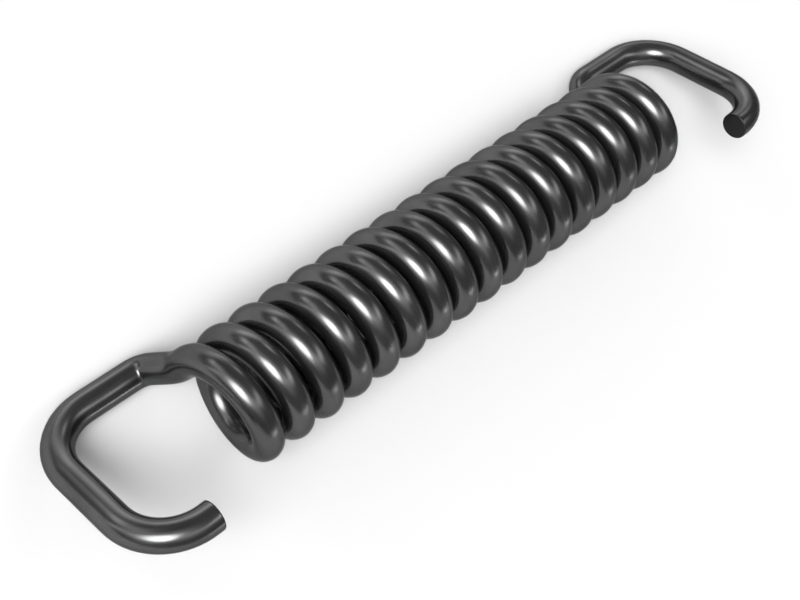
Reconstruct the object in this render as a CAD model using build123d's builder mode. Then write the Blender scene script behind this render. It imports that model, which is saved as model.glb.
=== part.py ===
from build123d import *
import math
import os

# An extension spring: one length of round wire, wound right-handed into a nearly closed coil, with
# its two ends formed into square open hooks that lie in one plane with the coil's axis.
# The model's frame: X runs along the coil's axis, Z is up, and the origin is on the surface that
# the spring lies on, under the middle of its length.

# Driving dimensions, in millimetres and degrees
wire_diameter = 2.5
coil_radius = 4.2  # from the coil's axis to the middle of the wire
coil_gap = 0.5  # open space between one turn and the next
coil_turns = 17  # turns between the coil's first and last crossings of the hooks' plane
hook_half_width = 7.2  # from the coil's axis to the middle of a hook's leg, on either side
corner_radius = 4.5  # bend at each rounded corner of a hook, on the middle of the wire
near_reach = 11.0  # from the coil's first crossing to the middle of the near hook's cross-run
far_reach = 10.4  # the same from its last crossing at the far hook
tip_straight = 0.65  # straight wire after a hook's last bend, up to the cut end
end_round = 0.12  # rounding of the sheared edge at each cut end
leg_inner_bend = 0.25  # radius left on the inside of the tight bend where a leg starts

# The wire leaves the helix early, runs straight, and turns out to the corner where a leg starts.
near_leave_angle = 40.0  # turn left out of the helix before its crossing
near_lead = 1.7  # from there to the corner of the bend that swings the wire outwards
near_swing_inner = 1.75  # radius on the inside of that bend
near_leg_corner = 1.25  # from the crossing along the axis to the corner at the leg
far_leave_angle = 46.0
far_lead = 0.5
far_swing_inner = 0.25
far_leg_corner = -0.1

# Worked out from them
wire_radius = wire_diameter / 2
leg_bend = wire_radius + leg_inner_bend
near_swing = wire_radius + near_swing_inner
far_swing = wire_radius + far_swing_inner
coil_pitch = wire_diameter + coil_gap
coil_half_length = coil_turns * coil_pitch / 2
near_tip = -coil_half_length - near_reach
far_tip = coil_half_length + far_reach
mid_length = (near_tip + far_tip) / 2

# The hooks are wider than the coil, so a spring that lies free has rolled about its axis until the
# two legs on its heavier side touch the surface as well as the coil.
rest_roll = math.degrees(math.asin(coil_radius / hook_half_width))
axis_height = coil_radius + wire_radius

# Working plane of the wire: x towards the legs' side of the near hook, y square to that hook, and
# z along the coil's axis from the near hook to the far hook.
legs_side = Vector(0, 1, 0).rotate(Axis.X, -rest_roll)
coil_plane = Plane(origin=(-mid_length, 0, axis_height), x_dir=legs_side, z_dir=(1, 0, 0))


def polar_point(radius, angle, along):
    """Point in the working plane, at an angle in degrees round the coil's axis from its x."""
    turn = math.radians(angle)
    return Vector(radius * math.cos(turn), radius * math.sin(turn), along)


def helix_point(angle):
    """Point of the helix, at an angle counted on from its first crossing."""
    return polar_point(coil_radius, angle, coil_pitch * angle / 360 - coil_half_length)


def helix_direction(angle):
    """Direction of the wire there, towards the far hook."""
    return polar_point(coil_radius, angle + 90, coil_pitch / (2 * math.pi)).normalized()


def draw_coil(first_angle, last_angle):
    """Add the helix between two angles."""
    height = coil_pitch * (last_angle - first_angle) / 360
    helix = Edge.make_helix(coil_pitch, height, coil_radius).rotate(Axis.Z, first_angle)
    start = Vector(0, 0, helix_point(first_angle).Z)
    add(coil_plane.from_local_coords(helix.translate(start)))


def draw_end(leave_angle, lead, swing_radius, crossing_angle, leg_corner, tip, outward):
    """Draw one end of the wire, from the helix to the cut end. Outward is 1 or -1 along the axis."""
    leave = helix_point(leave_angle)
    swing = leave + helix_direction(leave_angle) * outward * lead
    points = (
        leave,
        swing,
        polar_point(hook_half_width, crossing_angle, leg_corner),
        polar_point(hook_half_width, crossing_angle, tip),
        polar_point(-hook_half_width, crossing_angle, tip),
        polar_point(-hook_half_width, crossing_angle, tip - outward * (corner_radius + tip_straight)),
    )
    radii = (swing_radius, leg_bend, corner_radius, corner_radius)
    FilletPolyline(*(tuple(point) for point in points), radius=radii)


last_crossing = 360 * coil_turns
far_leave = last_crossing - far_leave_angle
near_corner = -coil_half_length - near_leg_corner
far_corner = coil_half_length + far_leg_corner

with BuildPart() as spring:
    with BuildLine(coil_plane) as route:
        draw_end(near_leave_angle, near_lead, near_swing, 0, near_corner, near_tip, -1)
        draw_coil(near_leave_angle, far_leave)
        draw_end(far_leave, far_lead, far_swing, last_crossing, far_corner, far_tip, 1)
    wire_path = route.wires()[0]
    with BuildSketch(Plane(origin=wire_path @ 0, z_dir=wire_path % 0)):
        Circle(wire_radius)
    sweep(path=wire_path)
    cut_ends = spring.faces().filter_by(GeomType.PLANE)
    fillet(cut_ends.edges(), end_round)

os.makedirs("parts", exist_ok=True)
spring.part.label = "spring"
export_step(spring.part, "parts/spring.step")
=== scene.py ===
import math

import bpy
import numpy as np
from mathutils import Matrix, Vector


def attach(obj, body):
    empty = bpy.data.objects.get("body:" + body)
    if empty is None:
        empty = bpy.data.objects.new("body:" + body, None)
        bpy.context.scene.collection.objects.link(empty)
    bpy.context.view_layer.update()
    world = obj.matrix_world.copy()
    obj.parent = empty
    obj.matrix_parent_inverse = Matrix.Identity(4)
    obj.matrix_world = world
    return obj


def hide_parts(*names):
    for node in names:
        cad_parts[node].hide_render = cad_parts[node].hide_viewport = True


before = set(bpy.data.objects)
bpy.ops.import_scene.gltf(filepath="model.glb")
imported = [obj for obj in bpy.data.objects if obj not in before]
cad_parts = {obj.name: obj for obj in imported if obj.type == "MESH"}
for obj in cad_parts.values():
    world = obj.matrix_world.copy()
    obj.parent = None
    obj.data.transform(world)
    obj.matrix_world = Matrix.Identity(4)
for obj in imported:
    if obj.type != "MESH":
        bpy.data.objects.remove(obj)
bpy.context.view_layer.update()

MM = 0.001  # metres

# The wire's route, with the sizes of the CAD part, in millimetres and degrees
WIRE_RADIUS = 1.25
COIL_RADIUS = 4.2
COIL_PITCH = 3.0
COIL_TURNS = 17
HOOK_HALF_WIDTH = 7.2
CORNER_RADIUS = 4.5
NEAR_REACH, FAR_REACH = 11.0, 10.4
TIP_STRAIGHT = 0.65
END_ROUND = 0.12
LEG_BEND = 1.5  # bend where a leg starts

# Where the wire leaves the helix, its straight run from there, the bend that swings it outwards,
# and the corner at the leg
NEAR_LEAVE, NEAR_LEAD, NEAR_SWING, NEAR_LEG_CORNER = 40.0, 1.7, 3.0, 1.25
FAR_LEAVE, FAR_LEAD, FAR_SWING, FAR_LEG_CORNER = 46.0, 0.5, 1.5, -0.1

COIL_HALF = COIL_TURNS * COIL_PITCH / 2
NEAR_TIP, FAR_TIP = -COIL_HALF - NEAR_REACH, COIL_HALF + FAR_REACH
MID_LENGTH = (NEAR_TIP + FAR_TIP) / 2
REST_ROLL = math.asin(COIL_RADIUS / HOOK_HALF_WIDTH)
AXIS_HEIGHT = COIL_RADIUS + WIRE_RADIUS

# Directions of the coil: towards the legs, square to the hooks, and along the axis
LEGS_SIDE = np.array((0, math.cos(REST_ROLL), -math.sin(REST_ROLL)))
HOOKS_NORMAL = np.array((0, math.sin(REST_ROLL), math.cos(REST_ROLL)))
COIL_AXIS = np.array((1.0, 0, 0))
COIL_MIDDLE = np.array((-MID_LENGTH, 0, AXIS_HEIGHT))


def unit(vector):
    return vector / np.linalg.norm(vector)


def from_coil(point):
    """Row-frame position, in millimetres, of a point given in the coil's directions."""
    across, square, along = point
    return COIL_MIDDLE + across * LEGS_SIDE + square * HOOKS_NORMAL + along * COIL_AXIS


# ---------------------------------------------------------------- the route of the wire

STRAIGHT_STEP = 0.6  # millimetres between two rings
TURN_STEP = math.radians(5)  # and round a bend or the coil


def helix_point(angle):
    turn = math.radians(angle)
    along = COIL_PITCH * angle / 360 - COIL_HALF
    return np.array((COIL_RADIUS * math.cos(turn), COIL_RADIUS * math.sin(turn), along))


def helix_direction(angle):
    turn = math.radians(angle)
    rise = COIL_PITCH / (2 * math.pi)
    return unit(np.array((-COIL_RADIUS * math.sin(turn), COIL_RADIUS * math.cos(turn), rise)))


def straight(start, end):
    """(position, direction) along a straight, without its last point."""
    count = max(1, math.ceil(np.linalg.norm(end - start) / STRAIGHT_STEP))
    way = unit(end - start)
    return [(start + (end - start) * i / count, way) for i in range(count)]


def bend(start, way_in, way_out, radius):
    """The same round an arc from start, and the point where the arc ends."""
    angle = math.acos(np.clip(way_in @ way_out, -1, 1))
    inward = unit(way_out - way_in * (way_in @ way_out))
    centre = start + inward * radius
    count = max(2, math.ceil(angle / TURN_STEP))

    def at(turn):
        place = centre + radius * (way_in * math.sin(turn) - inward * math.cos(turn))
        return place, way_in * math.cos(turn) + inward * math.sin(turn)

    return [at(angle * i / count) for i in range(count)], at(angle)[0]


def rounded_route(corners, radii):
    """Straight runs through corners that are rounded to radii, without the last point."""
    samples = []
    start = corners[0]
    for before, corner, after, radius in zip(corners, corners[1:], corners[2:], radii):
        way_in, way_out = unit(corner - before), unit(after - corner)
        turn = math.acos(np.clip(way_in @ way_out, -1, 1))
        entry = corner - way_in * radius * math.tan(turn / 2)
        samples += straight(start, entry)
        arc, start = bend(entry, way_in, way_out, radius)
        samples += arc
    return samples + straight(start, corners[-1])


def end_corners(leave_angle, lead, leg_corner, tip, outward):
    """Corners of one end of the wire, from the helix to the cut end."""
    leave = helix_point(leave_angle)
    last = tip - outward * (CORNER_RADIUS + TIP_STRAIGHT)
    return [
        leave,
        leave + helix_direction(leave_angle) * outward * lead,
        np.array((HOOK_HALF_WIDTH, 0, leg_corner)),
        np.array((HOOK_HALF_WIDTH, 0, tip)),
        np.array((-HOOK_HALF_WIDTH, 0, tip)),
        np.array((-HOOK_HALF_WIDTH, 0, last)),
    ]


def wire_route():
    """Every ring's position and direction, from the near cut end to the far one."""
    far_leave = 360 * COIL_TURNS - FAR_LEAVE
    hook_bends = [LEG_BEND, CORNER_RADIUS, CORNER_RADIUS]
    near = end_corners(NEAR_LEAVE, NEAR_LEAD, -COIL_HALF - NEAR_LEG_CORNER, NEAR_TIP, -1)
    far = end_corners(far_leave, FAR_LEAD, COIL_HALF + FAR_LEG_CORNER, FAR_TIP, 1)
    route = rounded_route(near[::-1], hook_bends[::-1] + [NEAR_SWING])
    count = math.ceil(math.radians(far_leave - NEAR_LEAVE) / TURN_STEP)
    for angle in np.linspace(NEAR_LEAVE, far_leave, count, endpoint=False):
        route.append((helix_point(angle), helix_direction(angle)))
    route += rounded_route(far, [FAR_SWING] + hook_bends)
    route.append((far[-1], unit(far[-1] - far[-2])))
    return route


# ---------------------------------------------------------------- the wire's mesh

ROUND_COUNT = 48  # corners of a ring
ROUND_RINGS = 4  # rings over the rounded edge of a cut end
FACE_RINGS = 5  # rings on a cut face
NO_TURN = 1e-18  # square of a change of direction that is too small to carry a side over


def carried_frames(places, ways):
    """A side direction at each ring, carried along the route without twisting round it."""
    side = unit(np.cross(ways[0], HOOKS_NORMAL))
    sides = [side]
    for i in range(len(places) - 1):
        step = places[i + 1] - places[i]
        side_mid = side - step * (2 / (step @ step)) * (step @ side)
        way_mid = ways[i] - step * (2 / (step @ step)) * (step @ ways[i])
        turn = ways[i + 1] - way_mid
        if turn @ turn > NO_TURN:
            side_mid = side_mid - turn * (2 / (turn @ turn)) * (turn @ side_mid)
        side = unit(side_mid - ways[i + 1] * (side_mid @ ways[i + 1]))
        sides.append(side)
    return np.array(sides)


def cut_end(length, outward):
    """Rings of a cut end as (radius, distance along the wire), from the middle of its face out."""
    face_radius = WIRE_RADIUS - END_ROUND
    rings = [(face_radius * i / FACE_RINGS, length) for i in range(1, FACE_RINGS + 1)]
    for i in range(1, ROUND_RINGS + 1):
        turn = math.pi / 2 * i / ROUND_RINGS
        back = END_ROUND * (1 - math.cos(turn))
        rings.append((face_radius + END_ROUND * math.sin(turn), length - outward * back))
    return rings


def wire_mesh():
    route = wire_route()
    places = np.array([from_coil(place) for place, _ in route])
    ways = np.array([way for _, way in route]) @ np.array((LEGS_SIDE, HOOKS_NORMAL, COIL_AXIS))
    sides = carried_frames(places, ways)
    lengths = np.concatenate(([0], np.cumsum(np.linalg.norm(np.diff(places, axis=0), axis=1))))

    # Each ring is (radius, distance along the wire, index of its place on the route)
    last = len(places) - 1
    rings = [(radius, length, 0) for radius, length in cut_end(0.0, -1)]
    rings += [(WIRE_RADIUS, lengths[i], i) for i in range(1, last)]
    rings += [(radius, length, last) for radius, length in cut_end(lengths[last], 1)[::-1]]

    around = np.linspace(0, 2 * math.pi, ROUND_COUNT, endpoint=False)
    vertices, straightened = [], []
    for radius, length, i in rings:
        middle = places[i] + ways[i] * (length - lengths[i])
        other = np.cross(ways[i], sides[i])
        across, up = radius * np.cos(around), radius * np.sin(around)
        vertices.append(middle + np.outer(across, sides[i]) + np.outer(up, other))
        straightened.append(np.column_stack((across, up, np.full(ROUND_COUNT, length))))
    first_middle = len(rings) * ROUND_COUNT
    vertices = np.vstack(vertices + [places[0], places[last]])
    straightened = np.vstack(straightened + [(0, 0, 0), (0, 0, lengths[last])])

    faces = []
    for ring in range(len(rings) - 1):
        here, there = ring * ROUND_COUNT, (ring + 1) * ROUND_COUNT
        for i in range(ROUND_COUNT):
            j = (i + 1) % ROUND_COUNT
            faces.append((here + i, here + j, there + j, there + i))
    tail = first_middle - ROUND_COUNT
    for i in range(ROUND_COUNT):
        j = (i + 1) % ROUND_COUNT
        faces.append((first_middle, j, i))
        faces.append((first_middle + 1, tail + i, tail + j))

    mesh = bpy.data.meshes.new("wire")
    mesh.from_pydata((vertices * MM).tolist(), [], faces)
    mesh.shade_smooth()
    add_finish_data(mesh, straightened, len(rings))
    return mesh


BAKE_STRIPS = 8  # equal lengths of wire, one above the other in the bake's layout
BAKE_ROWS = BAKE_STRIPS + 1  # and a row for the two cut ends
BAKE_MARGIN = 0.012  # of the layout's size, left free at each side of a strip
CUT_DISC = 0.03  # of the layout's width to a millimetre of a cut end
NEAR_CUT_MIDDLE, FAR_CUT_MIDDLE = 0.25, 0.75  # places of the two cut ends along their row


def strip_place(share, strip, along):
    """Place in the layout of a share round the wire and a share along one strip."""
    u = BAKE_MARGIN + (1 - 2 * BAKE_MARGIN) * along
    row_margin = BAKE_MARGIN * BAKE_ROWS
    return u, (strip + row_margin + share * (1 - 2 * row_margin)) / BAKE_ROWS


def add_finish_data(mesh, straightened, ring_count):
    """Give the mesh what its finish is painted by, and a layout for baking that finish."""
    cut_rings = FACE_RINGS + ROUND_RINGS
    ring_of = np.minimum(np.arange(len(straightened)) // ROUND_COUNT, ring_count)
    on_cut = (ring_of < cut_rings - 1) | (ring_of > ring_count - cut_rings)
    place = mesh.attributes.new("straightened", "FLOAT_VECTOR", "POINT")
    place.data.foreach_set("vector", straightened.astype(np.float32).ravel())
    cut = mesh.attributes.new("cut_face", "FLOAT", "POINT")
    cut.data.foreach_set("value", on_cut.astype(np.float32))

    strip_length = straightened[:, 2].max() / BAKE_STRIPS
    layout = mesh.uv_layers.new(name="OFBake")
    uvs = np.zeros((len(mesh.loops), 2))
    for face in mesh.polygons:
        corners = list(face.vertices)
        first_ring = min(ring_of[corner] for corner in corners)
        near_end = first_ring < cut_rings - 1 or corners[0] == ring_count * ROUND_COUNT
        far_end = first_ring >= ring_count - cut_rings
        strip = min(int(straightened[corners[0]][2] / strip_length), BAKE_STRIPS - 1)
        closes_round = corners[0] % ROUND_COUNT == ROUND_COUNT - 1
        for loop, corner in zip(face.loop_indices, corners):
            across, up, length = straightened[corner]
            if near_end or far_end:
                middle = NEAR_CUT_MIDDLE if near_end else FAR_CUT_MIDDLE
                v = (BAKE_STRIPS + 0.5) / BAKE_ROWS + up * CUT_DISC
                uvs[loop] = middle + across * CUT_DISC, v
                continue
            share = corner % ROUND_COUNT / ROUND_COUNT
            if share == 0 and closes_round:
                share = 1.0
            uvs[loop] = strip_place(share, strip, length / strip_length - strip)
    layout.data.foreach_set("uv", uvs.astype(np.float32).ravel())


# ---------------------------------------------------------------- the finish of the wire

STEEL_DARK, STEEL_LIGHT = (0.083, 0.083, 0.084, 1), (0.112, 0.112, 0.113, 1)
STEEL_METALLIC = 0.94  # the rest is the oxide film, which scatters a little light
STEEL_EDGE_TINT = (0.45, 0.45, 0.45, 1)  # the black oxide keeps a grazing view dark
SMOOTH_ROUGHNESS, DULL_ROUGHNESS = 0.2, 0.28
RELIEF_STRENGTH, RELIEF_DEPTH = 0.12, 0.01 * MM
NOISE_LOW, NOISE_HIGH = 0.35, 0.65  # most of a noise lies between these
# Painted shade: the flat cut end faces are coloured darker than the steel round them, standing in for
# the shade that falls on them
CUT_PAINTED_SHADE_COLOUR = (0.032, 0.032, 0.0325, 1)
CUT_ROUGHNESS = 0.42


class NodeMaker:
    """Adds nodes to a shader's tree, each with its settings and what feeds its sockets."""

    def __init__(self, tree):
        self.tree = tree

    def add(self, kind, inputs, **settings):
        node = self.tree.nodes.new("ShaderNode" + kind)
        for name, value in settings.items():
            setattr(node, name, value)
        for name, value in inputs.items():
            self.feed(node.inputs[name], value)
        return node

    def feed(self, socket, value):
        if isinstance(value, bpy.types.NodeSocket):
            self.tree.links.new(value, socket)
        else:
            socket.default_value = value


def wire_material():
    """Drawn steel under a thin black oxide: fine lines along the wire, soft patches, and dull cuts
    whose darker colour is painted shade.
    """
    material = bpy.data.materials.new("black_oxide_steel")
    material.use_nodes = True
    maker = NodeMaker(material.node_tree)
    shader = material.node_tree.nodes["Principled BSDF"]

    # Places on the straightened wire, in millimetres
    place = maker.add("Attribute", {}, attribute_name="straightened").outputs["Vector"]
    cut = maker.add("Attribute", {}, attribute_name="cut_face").outputs["Fac"]

    def noise(scale, stretch, detail):
        moved = maker.add("VectorMath", {0: place, 1: stretch}, operation="MULTIPLY").outputs[0]
        node = maker.add("TexNoise", {"Vector": moved, "Scale": scale, "Detail": detail})
        return node.outputs["Fac"]

    def between(value, low, high):
        """The value of a noise, spread from low to high."""
        source = {"Value": value, "From Min": NOISE_LOW, "From Max": NOISE_HIGH}
        return maker.add("MapRange", source | {"To Min": low, "To Max": high}).outputs["Result"]

    def blend(share, one, other):
        node = maker.add("Mix", {0: share}, data_type="RGBA")
        maker.feed(node.inputs[6], one)
        maker.feed(node.inputs[7], other)
        return node.outputs[2]

    drawing_lines = noise(4.0, (1, 1, 0.03), 3.0)
    oxide_patches = noise(0.5, (1, 1, 0.5), 4.0)
    shear_marks = noise(5.0, (1, 0.12, 1), 2.0)

    steel = blend(between(oxide_patches, 0.0, 1.0), STEEL_DARK, STEEL_LIGHT)
    # The cut faces take the darker colour, which is painted shade, not a colour of their own
    maker.feed(shader.inputs["Base Color"], blend(cut, steel, CUT_PAINTED_SHADE_COLOUR))
    drawn = between(drawing_lines, SMOOTH_ROUGHNESS, DULL_ROUGHNESS)
    roughness = maker.add("Mix", {0: cut, 2: drawn, 3: CUT_ROUGHNESS}).outputs[0]
    maker.feed(shader.inputs["Roughness"], roughness)
    relief = maker.add("Mix", {0: cut, 2: drawing_lines, 3: shear_marks}).outputs[0]
    bump_inputs = {"Height": relief, "Strength": RELIEF_STRENGTH, "Distance": RELIEF_DEPTH}
    bump = maker.add("Bump", bump_inputs)
    maker.feed(shader.inputs["Normal"], bump.outputs["Normal"])

    shader.inputs["Metallic"].default_value = STEEL_METALLIC
    shader.inputs["Specular Tint"].default_value = STEEL_EDGE_TINT
    return material


wire = bpy.data.objects.new("wire", wire_mesh())
bpy.context.scene.collection.objects.link(wire)
wire.data.materials.append(wire_material())
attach(wire, "root")
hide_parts("spring")

# ---------------------------------------------------------------- the floor

FLOOR_HALF = 8.0  # metres from its middle to an edge
FLOOR_COLOUR = (0.6, 0.6, 0.6, 1)  # which these lamps light to about white
FLOOR_ROUGHNESS = 0.9

sides = ((-1, -1), (1, -1), (1, 1), (-1, 1))
floor_corners = [(x * FLOOR_HALF, y * FLOOR_HALF, 0) for x, y in sides]
floor_mesh = bpy.data.meshes.new("floor")
floor_mesh.from_pydata(floor_corners, [], [(0, 1, 2, 3)])
floor = bpy.data.objects.new("floor", floor_mesh)
bpy.context.scene.collection.objects.link(floor)
floor_paint = bpy.data.materials.new("pale_floor")
floor_paint.use_nodes = True
paint = floor_paint.node_tree.nodes["Principled BSDF"]
paint.inputs["Base Color"].default_value = FLOOR_COLOUR
paint.inputs["Roughness"].default_value = FLOOR_ROUGHNESS
floor.data.materials.append(floor_paint)

# ---------------------------------------------------------------- the lights

ROOM_LEVEL = 0.22  # radiance of the room all round, where 1 lights white paper to white
LAMP_DISTANCE = 3.0  # metres

world = bpy.data.worlds.new("studio")
bpy.context.scene.world = world
world.use_nodes = True
world.node_tree.nodes["Background"].inputs["Color"].default_value = (1, 1, 1, 1)
world.node_tree.nodes["Background"].inputs["Strength"].default_value = ROOM_LEVEL


def soften_edges(data, core):
    """Full light over the core share of the lamp's width, fading smoothly to none at its edge."""
    data.use_nodes = True
    maker = NodeMaker(data.node_tree)
    place = maker.add("NewGeometry", {}).outputs["Parametric"]
    middle = (0.5, 0.5, 0)
    centred = maker.add("VectorMath", {0: place, 1: middle}, operation="SUBTRACT").outputs[0]
    distance = maker.add("VectorMath", {0: centred}, operation="LENGTH").outputs["Value"]
    sockets = {"Value": distance, "From Min": core / 2, "From Max": 0.5, "To Min": 1.0, "To Max": 0.0}
    fade = maker.add("MapRange", sockets, interpolation_type="SMOOTHSTEP").outputs["Result"]
    maker.feed(data.node_tree.nodes["Emission"].inputs["Strength"], fade)


def softbox(name, turn, rise, wide, tall, level, spin=0.0, core=0.0):
    """A flat lamp aimed at the spring, placed and sized by the angles at which the spring sees it.

    turn is counted from +X towards +Y, rise from the floor up, and spin about the line to the
    spring, all in degrees. level is its radiance, on the scale of ROOM_LEVEL.
    """
    data = bpy.data.lights.new(name, "AREA")
    data.shape = "RECTANGLE"
    data.size = 2 * LAMP_DISTANCE * math.tan(math.radians(wide / 2))
    data.size_y = 2 * LAMP_DISTANCE * math.tan(math.radians(tall / 2))
    data.energy = level * math.pi * data.size * data.size_y
    soften_edges(data, core)
    lamp = bpy.data.objects.new(name, data)
    bpy.context.scene.collection.objects.link(lamp)
    turn, rise = math.radians(turn), math.radians(rise)
    way = Vector((math.cos(turn) * math.cos(rise), math.sin(turn) * math.cos(rise), math.sin(rise)))
    facing = way.to_track_quat("Z", "Y").to_matrix().to_4x4()
    spun = Matrix.Rotation(math.radians(spin), 4, "Z")
    lamp.matrix_world = Matrix.Translation(way * LAMP_DISTANCE) @ facing @ spun


softbox("key", 184, 51, 46, 44, 14.0, core=0.5)
softbox("key_glow", 200, 64, 110, 70, 1.1)
softbox("front_fill", 172, 30, 78, 36, 1.5)
softbox("left_fill", 120, 38, 54, 34, 1.5)
softbox("high_side_strip", 326, 55, 66, 26, 3.2, spin=-28)
softbox("over_strip", 264, 63, 70, 26, 0.9)
softbox("low_side_strip", 287, 2, 56, 5, 11.0)
softbox("low_back_panel", 60, 6, 76, 48, 2.5)
softbox("back_strip", 106, 25, 46, 18, 3.0)
softbox("left_column", 144, 15, 18, 46, 2.3)
softbox("back_patch", 32, 29, 28, 26, 2.4)

# ---------------------------------------------------------------- the camera

CAMERA_TURN = math.radians(45.59)  # from the legs' side round to the coil's axis
CAMERA_RISE = math.radians(44.84)  # above the hooks' plane
CAMERA_ROLL = math.radians(0.5)
CAMERA_DISTANCE = 104.74
CAMERA_AIM = (-1.42, 0, -7.48)  # in the coil's directions, millimetres from the coil's middle
FOCAL_LENGTH = 58.70
SENSOR_WIDTH = 36
CLIP_START = 0.005  # metres

level = math.cos(CAMERA_TURN) * LEGS_SIDE + math.sin(CAMERA_TURN) * COIL_AXIS
forward = math.cos(CAMERA_RISE) * level - math.sin(CAMERA_RISE) * HOOKS_NORMAL
right = unit(np.cross(forward, HOOKS_NORMAL))
up = np.cross(right, forward)
place = from_coil(CAMERA_AIM) - forward * CAMERA_DISTANCE
camera_data = bpy.data.cameras.new("camera")
camera_data.lens = FOCAL_LENGTH
camera_data.sensor_width = SENSOR_WIDTH
camera_data.clip_start = CLIP_START
camera = bpy.data.objects.new("camera", camera_data)
bpy.context.scene.collection.objects.link(camera)
axes = Matrix(np.column_stack((right, up, -forward)).tolist()).to_4x4()
rolled = Matrix.Rotation(CAMERA_ROLL, 4, "Z")
camera.matrix_world = Matrix.Translation(Vector(place * MM)) @ axes @ rolled
bpy.context.scene.camera = camera

bpy.context.scene.view_settings.view_transform = "Standard"
